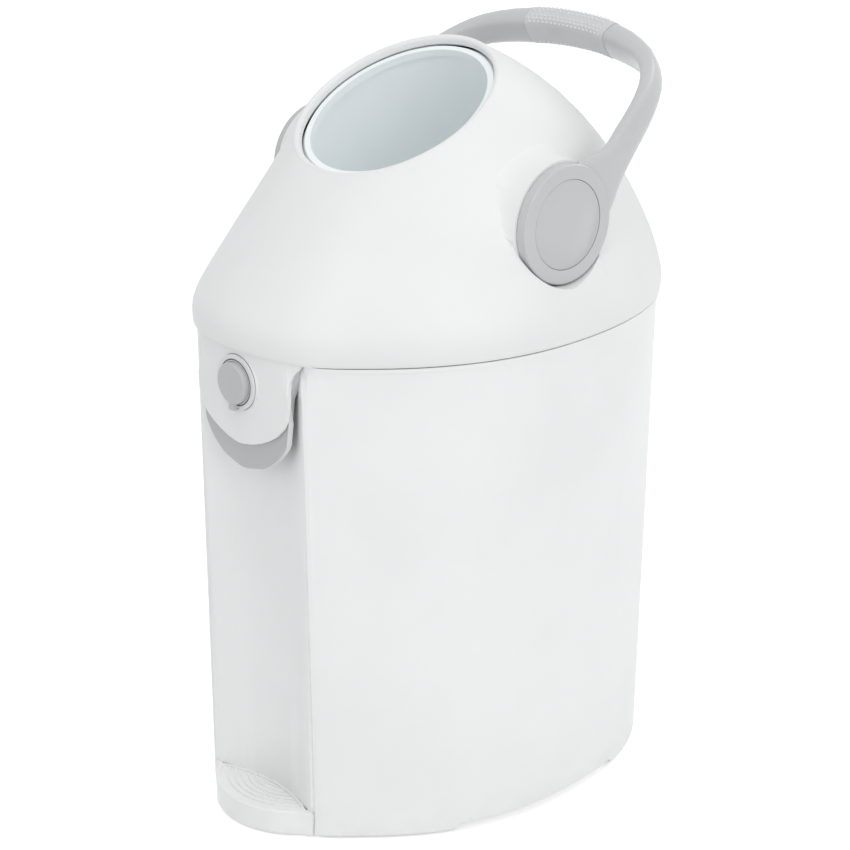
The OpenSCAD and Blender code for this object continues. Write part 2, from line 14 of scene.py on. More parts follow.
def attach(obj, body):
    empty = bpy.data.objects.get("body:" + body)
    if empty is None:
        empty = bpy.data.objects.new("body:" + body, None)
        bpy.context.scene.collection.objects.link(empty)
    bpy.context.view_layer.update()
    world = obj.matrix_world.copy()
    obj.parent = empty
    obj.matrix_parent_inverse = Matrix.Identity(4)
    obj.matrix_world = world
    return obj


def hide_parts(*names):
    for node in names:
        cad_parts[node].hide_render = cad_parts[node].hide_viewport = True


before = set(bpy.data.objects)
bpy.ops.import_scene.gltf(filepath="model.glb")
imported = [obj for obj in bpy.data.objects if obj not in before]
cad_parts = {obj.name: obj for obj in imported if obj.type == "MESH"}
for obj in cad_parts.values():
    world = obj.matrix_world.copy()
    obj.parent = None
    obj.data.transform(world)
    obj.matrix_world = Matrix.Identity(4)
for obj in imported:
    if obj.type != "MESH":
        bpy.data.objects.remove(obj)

log = logging.getLogger("nappy_bin")
MM = 0.001
# corners of a CAD mesh that are closer than this are one corner, in metres
MERGE = 2e-6
# tab and tongue plate lie in front of this y, in millimetres
FRONT_Y = -158.0
# the bowed front face is a parabola with this radius at its middle, in millimetres
FACE_BOW = 160.0
# y and z of the drum's axis, in millimetres
AXLE = (10.7, 459.0)


class Body(Enum):
    """Moving bodies that the skins and details ride on."""

    BIN = "bin"
    HOOD = "hood"
    BUTTON = "button"
    DRUM = "drum"
    PISTON = "piston"


class Slot(Enum):
    """Material slots of the record."""

    WHITE = "white"
    PALE_GREY = "pale_grey"
    COOL_GREY = "cool_grey"
    SOFT_GRIP = "soft_grip"
    BEARING = "bearing"


class Grain(Enum):
    """Depth of a moulded face's grain, in metres."""

    POLISHED = 0.000008
    FINE = 0.000012
    PLAIN = 0.00002
    COARSE = 0.00003


# shader maths


class Expr:
    """A value socket with arithmetic: each operator adds one Math node."""

    def __init__(self, graph: "Graph", socket: Any) -> None:
        """Wraps an output socket of a graph."""
        self.graph = graph
        self.socket = socket

    def _math(self, operation: str, first: Any, second: Any) -> "Expr":
        """Adds a Math node for an operation on two operands."""
        node = self.graph.node("ShaderNodeMath", {"operation": operation}, {0: first, 1: second})
        return Expr(self.graph, node.outputs[0])

    def __add__(self, other: Any) -> "Expr":
        """Sum."""
        return self._math("ADD", self, other)

    def __radd__(self, other: Any) -> "Expr":
        """Reflected sum."""
        return self._math("ADD", other, self)

    def __sub__(self, other: Any) -> "Expr":
        """Difference."""
        return self._math("SUBTRACT", self, other)

    def __rsub__(self, other: Any) -> "Expr":
        """Reflected difference."""
        return self._math("SUBTRACT", other, self)

    def __mul__(self, other: Any) -> "Expr":
        """Product."""
        return self._math("MULTIPLY", self, other)

    def __rmul__(self, other: Any) -> "Expr":
        """Reflected product."""
        return self._math("MULTIPLY", other, self)

    def power(self, exponent: float) -> "Expr":
        """Power with a constant exponent."""
        return self._math("POWER", self, exponent)

    def capped(self) -> "Expr":
        """The value, at most 1."""
        return self._math("MINIMUM", self, 1.0)

    def ramp(self, low: float, high: float) -> "Expr":
        """Smooth step from 0 at low to 1 at high."""
        node = self.graph.node("ShaderNodeMapRange", {"interpolation_type": "SMOOTHSTEP"},
                               {0: self, 1: low, 2: high, 3: 0.0, 4: 1.0})
        return Expr(self.graph, node.outputs[0])


class Graph:
    """Node graph of one material, or of the world."""

    def __init__(self, owner: Any, output: str = "ShaderNodeOutputMaterial") -> None:
        """Clears the owner's nodes and adds an output.

        Args:
            owner: Material or world.
            output: Type of its output node.
        """
        self.owner = owner
        owner.use_nodes = True
        self.tree = owner.node_tree
        self.tree.nodes.clear()
        self.output = self.node(output)

    @classmethod
    def of_material(cls, name: str) -> "Graph":
        """Graph of a new material."""
        return cls(bpy.data.materials.new(name))

    def node(self, kind: str, settings: dict[str, Any] | None = None,
             inputs: dict[Any, Any] | None = None) -> Any:
        """Adds a node.

        Args:
            kind: Blender's node type.
            settings: Properties, set before the sockets.
            inputs: Values or links by socket name or number.

        Returns:
            The node.
        """
        made = self.tree.nodes.new(kind)
        for key, value in (settings or {}).items():
            setattr(made, key, value)
        for key, value in (inputs or {}).items():
            self.feed(made.inputs[key], value)
        return made

    def feed(self, socket: Any, value: Any) -> None:
        """Gives a socket a value or a link.

        Args:
            socket: Input socket.
            value: Number, colour, expression, or output socket.
        """
        if isinstance(value, Expr):
            value = value.socket
        if isinstance(value, NodeSocket):
            self.tree.links.new(value, socket)
        else:
            socket.default_value = value

    def place(self) -> Any:
        """Object coordinates of the piece, in metres."""
        return self.node("ShaderNodeTexCoord").outputs["Object"]

    def axis(self, name: str) -> Expr:
        """Object coordinate X, Y or Z, in metres."""
        split = self.node("ShaderNodeSeparateXYZ", None, {0: self.place()})
        return Expr(self, split.outputs[name])

    def noise(self, scale: float, detail: float = 2.0, rough: float = 0.5) -> Expr:
        """Noise over Object coordinates.

        Args:
            scale: Cells per metre.
            detail: Octaves.
            rough: Weight of the finer octaves.

        Returns:
            Value about 0.5.
        """
        made = self.node("ShaderNodeTexNoise", None,
                         {"Vector": self.place(), "Scale": scale, "Detail": detail, "Roughness": rough})
        return Expr(self, made.outputs[0])

    def blend(self, factor: Expr, low: Any, high: Sequence[float]) -> Any:
        """Mixes two colours.

        Args:
            factor: Share of the second colour.
            low: First colour, or a colour socket.
            high: Second colour.

        Returns:
            Colour socket.
        """
        made = self.node("ShaderNodeMix", {"data_type": "RGBA"})
        self.feed(made.inputs[0], factor)
        self.feed(made.inputs[6], low if isinstance(low, NodeSocket) else (*low, 1.0))
        self.feed(made.inputs[7], (*high, 1.0))
        return made.outputs[2]

    def bump(self, height: Expr, depth: float) -> Any:
        """Normal socket of a bump, from a height of 0 to 1 and a depth in metres."""
        made = self.node("ShaderNodeBump", None, {"Strength": 1.0, "Distance": depth, "Height": height})
        return made.outputs[0]

    def seen(self) -> Expr:
        """Light Path's share for what the camera sees, straight or in metal or glass.

        Returns:
            1 for such a ray, and 0 for light that falls on the bin.
        """
        rays = self.node("ShaderNodeLightPath").outputs
        straight, mirrored = Expr(self, rays["Is Camera Ray"]), Expr(self, rays["Is Glossy Ray"])
        return (straight + mirrored + Expr(self, rays["Is Transmission Ray"])).capped()

    def finish(self, shader: Any) -> Any:
        """Links a shader node to the output, and gives back the material or world."""
        self.tree.links.new(shader.outputs[0], self.output.inputs[0])
        return self.owner

    def shade(self, sockets: dict[str, Any]) -> Material:
        """Gives the material a Principled shader with these values or links."""
        return self.finish(self.node("ShaderNodeBsdfPrincipled", None, sockets))


# finishes


@dataclass(frozen=True)
class MouldedPlastic:
    """Spark-textured moulded plastic with a faint mottle, handling marks and floor dust."""

    name: str
    colour: tuple[float, float, float]
    roughness: float
    depth: Grain = Grain.PLAIN
    coat: float = 0.0
    # cells per metre of the grain, the mould's waves, the mottle, the handling marks and the dust
    grain: float = 1500.0
    waves: float = 35.0
    clouds: float = 9.0
    marks: float = 24.0
    specks: float = 60.0
    # how much darker the mottle is, and its share
    mottle: float = 0.044
    mottle_share: float = 0.8
    # tint of the dust, how high it lies in metres, and its share
    grime: tuple[float, float, float] = (0.80, 0.77, 0.72)
    dust_height: float = 0.045
    dust: float = 0.2
    # how much smoother the marks are, and rougher the dust and the grain
    rubbed_gloss: float = -0.05
    dust_dullness: float = 0.3
    grain_dullness: float = 0.04

    def make(self) -> Material:
        """Builds the material."""
        g = Graph.of_material(self.name)
        shade = [c * (1 - self.mottle) for c in self.colour]
        grime = [c * d for c, d in zip(self.colour, self.grime)]
        colour = g.blend(g.noise(self.clouds, 3.0).ramp(0.35, 0.7) * self.mottle_share, self.colour, shade)
        low = 1.0 - g.axis("Z").ramp(0.0, self.dust_height)
        dusty = low.power(2.0) * g.noise(self.specks, 4.0, 0.6).ramp(0.35, 0.75) * self.dust
        colour = g.blend(dusty, colour, grime)
        rubbed = g.noise(self.marks, 4.0, 0.65).ramp(0.5, 0.78)
        grain = g.noise(self.grain, 2.0, 0.6)
        return g.shade({
            "Base Color": colour,
            "Roughness": (self.roughness + rubbed * self.rubbed_gloss + dusty * self.dust_dullness
                          + grain * self.grain_dullness),
            "Coat Weight": self.coat,
            "Coat Roughness": 0.3,
            "Specular IOR Level": 0.45,
            "Normal": g.bump(grain + g.noise(self.waves) * 0.6, self.depth.value),
        })


@dataclass(frozen=True)
class SoftGrip:
    """Soft-touch elastomer, duller than the plastic around it."""

    name: str
    colour: tuple[float, float, float]
    roughness: float = 0.55
    # cells per metre of the grain and of the wear, and the grain's depth in metres
    grain: float = 2600.0
    wear: float = 40.0
    depth: float = 0.000025
    # brightness of the worn places, and their share
    dulled: float = 0.93
    worn_share: float = 0.6

    def make(self) -> Material:
        """Builds the material."""
        g = Graph.of_material(self.name)
        worn = g.noise(self.wear, 4.0, 0.6).ramp(0.45, 0.75)
        dull = [c * self.dulled for c in self.colour]
        return g.shade({
            "Base Color": g.blend(worn * self.worn_share, self.colour, dull),
            "Roughness": self.roughness + worn * 0.08,
            "Sheen Weight": 0.1,
            "Specular IOR Level": 0.4,
            "Normal": g.bump(g.noise(self.grain, 2.0, 0.6), self.depth),
        })


@dataclass(frozen=True)
class Rubber:
    """Dark rubber with a dusty bloom."""

    name: str
    colour: tuple[float, float, float]
    roughness: float = 0.62
    # cells per metre of the grain and of the bloom, and the grain's depth in metres
    grain: float = 1800.0
    patches: float = 70.0
    depth: float = 0.00003
    # how much paler the bloom is, and its share
    paler: float = 2.2
    bloom_share: float = 0.5

    def make(self) -> Material:
        """Builds the material."""
        g = Graph.of_material(self.name)
        bloom = g.noise(self.patches, 4.0, 0.6).ramp(0.4, 0.8)
        pale = [c * self.paler + 0.01 for c in self.colour]
        return g.shade({
            "Base Color": g.blend(bloom * self.bloom_share, self.colour, pale),
            "Roughness": self.roughness + bloom * 0.15,
            "Normal": g.bump(g.noise(self.grain), self.depth),
        })


@dataclass(frozen=True)
class Steel:
    """Turned or drawn steel with fine lathe lines and faint spots."""

    name: str
    colour: tuple[float, float, float]
    roughness: float = 0.28
    # cells per metre of the spots, and of the lathe lines along each axis
    spot_scale: float = 120.0
    line_scale: tuple[float, float, float] = (4000.0, 120.0, 120.0)
    line_depth: float = 0.00001
    # brightness of the spots, and their share
    darker: float = 0.72
    spot_share: float = 0.5

    def make(self) -> Material:
        """Builds the material."""
        g = Graph.of_material(self.name)
        spots = g.noise(self.spot_scale, 4.0, 0.65).ramp(0.5, 0.8)
        dark = [c * self.darker for c in self.colour]
        stretched = g.node("ShaderNodeMapping", None, {0: g.place(), 3: self.line_scale})
        lines = Expr(g, g.node("ShaderNodeTexNoise", None,
                               {"Vector": stretched.outputs[0], "Scale": 1.0, "Detail": 2.0}).outputs[0])
        return g.shade({
            "Base Color": g.blend(spots * self.spot_share, self.colour, dark),
            "Metallic": 1.0,
            "Roughness": self.roughness + spots * 0.15 + lines * 0.08,
            "Normal": g.bump(lines, self.line_depth),
        })


def finished(finish: Any) -> Material:
    """Field of the palette that holds a finish's material."""
    return field(default_factory=finish.make)


@dataclass
class Palette:
    """Every finish of the bin, made once, in this order."""

    body_white: Material = finished(MouldedPlastic("tub_white", (0.90, 0.90, 0.895), 0.40))
    hood_white: Material = finished(MouldedPlastic("hood_white", (0.86, 0.86, 0.855), 0.48, Grain.COARSE))
    grey: Material = finished(MouldedPlastic("handle_grey", (0.57, 0.575, 0.577), 0.24, Grain.POLISHED, 0.25))
    button_grey: Material = finished(MouldedPlastic("button_grey", (0.53, 0.535, 0.538), 0.34, Grain.FINE))
    # this pale grey is the bezel's own colour, and also the painted highlight on the plate's edge
    bezel: Material = finished(MouldedPlastic("bezel_grey", (0.76, 0.77, 0.78), 0.28, Grain.POLISHED, 0.25))
    plate: Material = finished(MouldedPlastic("plate_grey", (0.50, 0.505, 0.507), 0.34, Grain.FINE))
    cup: Material = finished(MouldedPlastic("cup_grey", (0.95, 0.99, 1.0), 0.38, Grain.FINE))
    grip: Material = finished(SoftGrip("soft_grip_grey", (0.64, 0.645, 0.648)))
    # the dots' grey is paler than the grip's to paint their highlights
    dots: Material = finished(SoftGrip("grip_dot_painted_highlight", (0.78, 0.785, 0.787)))
    rubber: Material = finished(Rubber("black_rubber", (0.045, 0.045, 0.05)))
    # this dark plastic is the bushes' own colour, and also the painted shade round the button
    bearing: Material = finished(MouldedPlastic("bearing_plastic", (0.10, 0.10, 0.105), 0.4))
    steel: Material = finished(Steel("plain_steel", (0.56, 0.57, 0.58)))


# modelling


def mode(name: str) -> None:
    """Switches the active object to object or edit mode."""
    bpy.ops.object.mode_set(mode=name)


def clear_selection() -> None:
    """Leaves object mode with nothing selected."""
    if bpy.context.object and bpy.context.object.mode != "OBJECT":
        mode("OBJECT")
    bpy.ops.object.select_all(action="DESELECT")


def choose(piece: Object) -> None:
    """Selects one object alone and makes it active.

    Args:
        piece: Object to work on.
    """
    clear_selection()
    piece.select_set(True)
    bpy.context.view_layer.objects.active = piece


def add_object(name: str, data: Any) -> Object:
    """Adds an object to the scene.

    Args:
        name: Its name.
        data: Its mesh, camera or lamp.

    Returns:
        The object.
    """
    made = bpy.data.objects.new(name, data)
    bpy.context.scene.collection.objects.link(made)
    return made


def join(parts: Sequence[Object]) -> Object:
    """Joins objects into the first one.

    Args:
        parts: Objects to join.

    Returns:
        The joined object.
    """
    clear_selection()
    for part in parts:
        part.select_set(True)
    bpy.context.view_layer.objects.active = parts[0]
    bpy.ops.object.join()
    return parts[0]


def settle(piece: Object) -> None:
    """Moves a piece's place into its mesh, so that its object sits at the origin."""
    choose(piece)
    bpy.ops.object.transform_apply(location=True, rotation=True, scale=True)


def smooth(piece: Object, angle: float) -> None:
    """Shades a piece smooth up to an angle in degrees."""
    choose(piece)
    bpy.ops.object.shade_smooth_by_angle(angle=math.radians(angle))


def dress(piece: Object, finish: Material) -> None:
    """Gives a piece one material."""
    piece.data.materials.clear()
    piece.data.materials.append(finish)


def dress_nodes(finish: Material, *nodes: str) -> None:
    """Gives CAD nodes that keep their own meshes one material.

    Args:
        finish: Material.
        nodes: Names of the nodes.
    """
    for node in nodes:
        dress(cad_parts[node], finish)
        log.info("%s: finished as it is", node)


def hand_over(piece: Object, name: str, body: Body, finish: Material) -> None:
    """Names, dresses and mounts a finished piece.

    Args:
        piece: Finished object.
        name: Its name.
        body: Body it rides on.
        finish: Its material.
    """
    piece.name = name
    piece.data.name = name
    dress(piece, finish)
    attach(piece, body.value)
    log.info("%s: %d faces on %s", name, len(piece.data.polygons), body.value)


def skin(node: str, body: Body, finish: Material, angle: float) -> Object:
    """Makes a smooth-shaded skin that stands for a CAD node.

    Args:
        node: Node to stand for.
        body: Body it rides on.
        finish: Material.
        angle: Edges sharper than this stay sharp, in degrees.

    Returns:
        The skin.
    """
    made = add_object(node + "_skin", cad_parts[node].data.copy())
    choose(made)
    mode("EDIT")
    bpy.ops.mesh.select_all(action="SELECT")
    bpy.ops.mesh.remove_doubles(threshold=MERGE)
    bpy.ops.mesh.customdata_custom_splitnormals_clear()
    mode("OBJECT")
    smooth(made, angle)
    hand_over(made, node + "_skin", body, finish)
    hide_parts(node)
    return made


def pick(piece: Object, kind: str, wanted: Callable[[Any], bool]) -> None:
    """Selects corners or faces by a rule, and stays in edit mode.

    Args:
        piece: Active object.
        kind: VERT or FACE.
        wanted: Rule that takes a corner or a face.
    """
    mode("EDIT")
    bpy.ops.mesh.select_mode(type=kind)
    bpy.ops.mesh.select_all(action="DESELECT")
    mode("OBJECT")
    for item in piece.data.vertices if kind == "VERT" else piece.data.polygons:
        item.select = wanted(item)
    mode("EDIT")


def ease(value: float, low: float, high: float) -> float:
    """Smooth step from 0 at low to 1 at high."""
    t = max(0.0, min(1.0, (value - low) / (high - low)))
    return t * t * (3 - 2 * t)


def between(low: float, high: float, share: float) -> float:
    """Straight blend of two values."""
    return low + (high - low) * share


def slice_level(piece: Object, *levels: float) -> None:
    """Cuts level rings into a piece.

    Args:
        piece: Object to cut.
        levels: Heights in millimetres.
    """
    choose(piece)
    for level in levels:
        mode("EDIT")
        bpy.ops.mesh.select_all(action="SELECT")
        bpy.ops.mesh.bisect(plane_co=(0, 0, level * MM), plane_no=(0, 0, 1))
        mode("OBJECT")


def slice_front(piece: Object, below: float, *places: float) -> None:
    """Cuts upright lines into the front of a piece, on both sides of the middle plane.

    Args:
        piece: Object to cut.
        below: Only faces lower than this height in millimetres are cut.
        places: Distances from the middle plane in millimetres.
    """
    choose(piece)
    for place in places:
        for side in (-1.0, 1.0):
            pick(piece, "FACE", lambda face: face.center.z < below * MM and face.center.y < FRONT_Y * MM)
            bpy.ops.mesh.bisect(plane_co=(side * place * MM, 0, 0), plane_no=(1, 0, 0))
            mode("OBJECT")


def round_edges(piece: Object, width: float, angle: float) -> None:
    """Rounds a piece's sharp edges.

    Args:
        piece: Object to round.
        width: Width of the rounding in millimetres.
        angle: Only edges sharper than this are rounded, in degrees.
    """
    choose(piece)
    bevel = piece.modifiers.new("rounding", "BEVEL")
    bevel.width = width * MM
    bevel.segments = 2
    bevel.limit_method = "ANGLE"
    bevel.angle_limit = math.radians(angle)
    bpy.ops.object.modifier_apply(modifier=bevel.name)
    smooth(piece, 50.0)


def shift_points(piece: Object, move: Callable[[Vector], Vector]) -> None:
    """Moves every corner of a piece by a rule in millimetres.

    Args:
        piece: Object whose mesh changes.
        move: Rule that takes a point and gives its new place.
    """
    for corner in piece.data.vertices:
        corner.co = move(corner.co / MM) * MM
    piece.data.update()


@dataclass(frozen=True)
class Curve:
    """Half outline in x and z, in millimetres, rounded by a curve through its points."""

    points: tuple[tuple[float, float], ...]
    # half width and rise of the flattened bottom
    bottom: tuple[float, float] = (12.7, 1.2)
    # points this close to the straight outline belong to it, and this far past the ends of a side
    reach: float = 0.06
    slack: float = 0.001

    def rounded(self, x: float, z: float) -> tuple[float, float] | None:
        """Finds the rounded place of a point on the straight outline.

        Args:
            x: Distance from the middle plane.
            z: Height.

        Returns:
            New x and z, or None where the point isn't on the outline.
        """
        pts = ((-self.points[1][0], self.points[1][1]),) + self.points
        for i in range(1, len(pts) - 2):
            (ax, az), (bx, bz) = pts[i], pts[i + 1]
            dx, dz = bx - ax, bz - az
            t = ((x - ax) * dx + (z - az) * dz) / (dx * dx + dz * dz)
            away = math.hypot(ax + t * dx - x, az + t * dz - z)
            if -self.slack <= t <= 1 + self.slack and away < self.reach:
                return tuple(0.5 * (2 * b + (c - a) * t + (2 * a - 5 * b + 4 * c - d) * t * t
                                    + (3 * b - a - 3 * c + d) * t ** 3)
                             for a, b, c, d in zip(pts[i - 1], pts[i], pts[i + 1], pts[i + 2]))
        return None

    def move(self, point: Vector) -> Vector:
        """Rounds the outline at one point of a front piece.

        Args:
            point: Point of the piece in millimetres.

        Returns:
            Its new place.
        """
        if point.y > FRONT_Y:
            return point
        found = self.rounded(abs(point.x), point.z)
        if found is None:
            return point
        x = math.copysign(found[0], point.x)
        half, rise = self.bottom
        z = found[1] + rise * max(0.0, 1.0 - (x / half) ** 2)
        return Vector((x, point.y + (x * x - point.x * point.x) / (2 * FACE_BOW), z))


@dataclass(frozen=True)
class FrontFit:
    """Fits the front tab and the plate behind it to the photograph, which shows both nearly flat."""

    # how far the sides move out, forward and up
    wider: float = 4.8
    forward: float = 3.0
    lift: float = 1.7
    # distances from the middle plane between which the move sets in
    middle: float = 15.0
    edge: float = 48.0
    # heights between which points move at all, and between which the move fades out
    span: tuple[float, float] = (279.0, 374.0)
    fade: tuple[float, float] = (338.0, 371.0)
    # how far the upper sides are drawn in again, from which distance out, and between which heights
    narrow: float = 0.0
    narrow_from: float = 30.0
    narrow_rise: tuple[float, float] = (322.0, 342.0)

    def move(self, point: Vector) -> Vector:
        """Moves the sides of a front piece out and forward.

        Args:
            point: Point of the piece in millimetres.

        Returns:
            Its new place.
        """
        if point.y > FRONT_Y or not self.span[0] <= point.z <= self.span[1]:
            return point
        share = ease(abs(point.x), self.middle, self.edge) * (1.0 - ease(point.z, *self.fade))
        out = self.wider * share
        if abs(point.x) > self.narrow_from:
            out -= self.narrow * ease(point.z, *self.narrow_rise)
        return point + Vector((math.copysign(out, point.x), -self.forward * share, self.lift * share))


@dataclass(frozen=True)
class TubPlan:
    """Plan of the tub's front: a scooped middle between two parts of a bowed face, in millimetres."""

    # top of the tub, and how far the face stands out at its middle
    seam: float = 375.0
    face: float = 182.0
    # radius of the scoop, and how far its deepest place stands out
    scoop_radius: float = 115.0
    scoop_y: float = 156.0
    # power that rounds the corner between face and scoop in the source
    rounding: int = 40
    # angles from the front in degrees: the sharp crease, the corners of the mesh next to it, and
    # how far on either side of them corners turn towards it
    crease: float = 18.7
    column: float = 17.5
    span: float = 2.5
    # angles at which the move sets in, is full, begins to fade and ends
    zone: tuple[float, float, float, float] = (10.0, 14.0, 22.0, 26.0)
    # heights between which it fades, the least radius that moves, and how far from the plan
    fade: tuple[float, float] = (356.0, 369.0)
    inner: float = 150.0
    wall: float = 3.2
    # distance that stands for no scoop
    beyond: float = 1e4

    def face_at(self, q: float) -> float:
        """Distance of the bowed face at an angle in radians from the front.

        Args:
            q: Angle.

        Returns:
            Distance from the tub's axis.
        """
        s, c = math.sin(q) ** 2, math.cos(q)
        far = FACE_BOW * (-c + math.sqrt(c * c + 2 * self.face * s / FACE_BOW))
        return self.face if s < 1e-6 else far / s

    def scoop_at(self, q: float) -> float:
        """Distance of the scoop at an angle in radians from the front.

        Args:
            q: Angle.

        Returns:
            Distance from the tub's axis.
        """
        reach = self.scoop_y + self.scoop_radius
        inside = self.scoop_radius ** 2 - (reach * math.sin(q)) ** 2
        return self.beyond if inside <= 0 else reach * math.cos(q) - math.sqrt(inside)

    def soft(self, q: float) -> float:
        """Distance of the source's rounded plan at an angle in radians from the front."""
        low, high = sorted((self.face_at(q), self.scoop_at(q)))
        return low * (1 + (low / high) ** self.rounding) ** (-1 / self.rounding)

    def crisp(self, point: Vector) -> Vector:
        """Draws the crease between scoop and front panel together.

        Args:
            point: Point of the tub in millimetres.

        Returns:
            Its new place.
        """
        radius, angle = math.hypot(point.x, point.y), math.degrees(math.atan2(abs(point.x), -point.y))
        start, full, fading, end = self.zone
        if not start < angle < end or radius < self.inner or point.z > self.seam:
            return point
        q = math.radians(angle)
        offset = radius - self.soft(q)
        if abs(offset) > self.wall:
            return point
        low, high = self.column - self.span, self.column + self.span
        turned = angle
        if low < angle <= self.column:
            turned = between(low, self.crease, (angle - low) / self.span)
        elif self.column < angle < high:
            turned = between(self.crease, high, (angle - self.column) / self.span)
        new = math.radians(turned)
        far = min(self.face_at(new), self.scoop_at(new)) + offset
        target = Vector((math.copysign(far * math.sin(new), point.x), -far * math.cos(new), point.z))
        share = (1 - ease(point.z, *self.fade)) * (1 - ease(angle, fading, end)) * ease(angle, start, full)
        return point.lerp(target, share)


@dataclass
class Tub:
    """Tub with its step, feet, tongue plate, bag ring and hinge pin."""

    palette: Palette
    plan: TubPlan = TubPlan()
    plate_outline: Curve = Curve(((0, 283), (19.8, 289), (27, 293), (33.4, 298.5), (38.6, 305), (41.9, 312),
                                  (44.6, 328), (47, 347), (49, 362), (49, 372)), bottom=(19.8, 2.4))
    front_fit: FrontFit = FrontFit(narrow=5.5)
    # heights of the rings cut into the tub below its seam
    ring_cuts: tuple[float, ...] = (352.0, 358.0, 364.0)
    # height below which the plate is cut, and the cuts' distances from the middle plane
    plate_cut_top: float = 300.0
    plate_cuts: tuple[float, ...] = (4.0, 8.0, 12.0, 16.0)
    # the plate's edge that gets a painted highlight: least turn from the front, top, and where it runs across
    # the bottom
    edge_facing: float = 0.6
    edge_top: float = 340.0
    edge_bottom: tuple[float, float] = (20.0, 298.0)
    # the tub's cut-out for the step: its top, its ends, how far it lies over the step, and its front
    notch_top: float = 23.3
    notch_ends: tuple[float, float] = (50.0, 61.0)
    notch_gap: float = 1.35
    foot_front: float = -160.0
    # the step: its top, and the arc of its front edge
    step_top: float = 20.0
    arc_y: float = -131.0
    arc_radius: float = 65.0
    # the tread's rounded edge: height above the top, distance inside the arc, and rise
    tread_edge: tuple[tuple[float, float, float], ...] = ((0.4, 0.2, 0.5), (0.9, 0.7, 0.3))
    tread_front: float = -170.0
    near: float = 0.02
    # the tread's back edge: its half width, its gap to the scoop, and the top of the sole below it
    tread_end: float = 50.8
    scoop_gap: float = 0.3
    sole: float = 4.0
    # ends of the step beyond which it is widened, and by how much
    step_end: float = 57.8
    joint: float = 0.25

    def close_notch(self, point: Vector) -> Vector:
        """Brings the tub's cut-out down to the ends of the step, and sharpens the scoop's crease.

        Args:
            point: Point of the tub in millimetres.

        Returns:
            Its new place.
        """
        inner, outer = self.notch_ends
        at_top = abs(point.z - self.notch_top) < 0.05
        if at_top and inner < abs(point.x) < outer and point.y < self.foot_front:
            return Vector((point.x, point.y, self.step_top + self.notch_gap))
        return self.plan.crisp(point)

    def round_step(self, point: Vector) -> Vector:
        """Rounds the tread's front edge, lets its back edge meet the scoop, and widens the step's ends.

        Args:
            point: Point of the step in millimetres.

        Returns:
            Its new place.
        """
        x, y, z = point
        out = math.hypot(x, y - self.arc_y)
        for height, inset, rise in self.tread_edge:
            on_edge = abs(z - self.step_top - height) < self.near and out < self.arc_radius - inset
            if on_edge and y < self.tread_front:
                z += rise
                break
        scoop = self.plan.scoop_radius
        back = math.sqrt(max(0.0, (scoop - self.scoop_gap) ** 2 - x * x)) - (self.plan.scoop_y + scoop)
        if z > self.sole and abs(y - back) < 0.25 and abs(x) < self.tread_end:
            y += self.scoop_gap
        if abs(x) > self.step_end and y < self.foot_front:
            x = math.copysign(abs(x) + self.joint, x)
        return Vector((x, y, z))

    def paint_edge_highlight(self, plate: Object) -> None:
        """Paints a highlight on the plate's turned edge in the paler bezel grey.

        Args:
            plate: Skin of the tongue plate.
        """
        # the bezel's paler grey on these edge faces is a painted highlight
        plate.data.materials.append(self.palette.bezel)
        side, bottom = self.edge_bottom
        for face in plate.data.polygons:
            place = face.center / MM
            outside = abs(place.x) > side or place.z < bottom
            if outside and abs(face.normal.y) < self.edge_facing and place.z < self.edge_top:
                face.material_index = 1

    def build(self) -> None:
        """Dresses the tub's nodes."""
        body = skin("bin_body", Body.BIN, self.palette.body_white, 30.0)
        slice_level(body, *self.ring_cuts)
        shift_points(body, self.close_notch)
        smooth(body, 30.0)
        step = skin("foot_step", Body.BIN, self.palette.body_white, 34.0)
        shift_points(step, self.round_step)
        smooth(step, 40.0)
        plate = skin("latch_plate", Body.BIN, self.palette.plate, 30.0)
        slice_front(plate, self.plate_cut_top, *self.plate_cuts)
        shift_points(plate, self.plate_outline.move)
        self.paint_edge_highlight(plate)
        shift_points(plate, self.front_fit.move)
        smooth(plate, 34.0)
        skin("bag_ring", Body.BIN, self.palette.grey, 30.0)
        dress_nodes(self.palette.rubber, "rubber_feet")
        dress_nodes(self.palette.steel, "plate_screws", "hinge_pin")


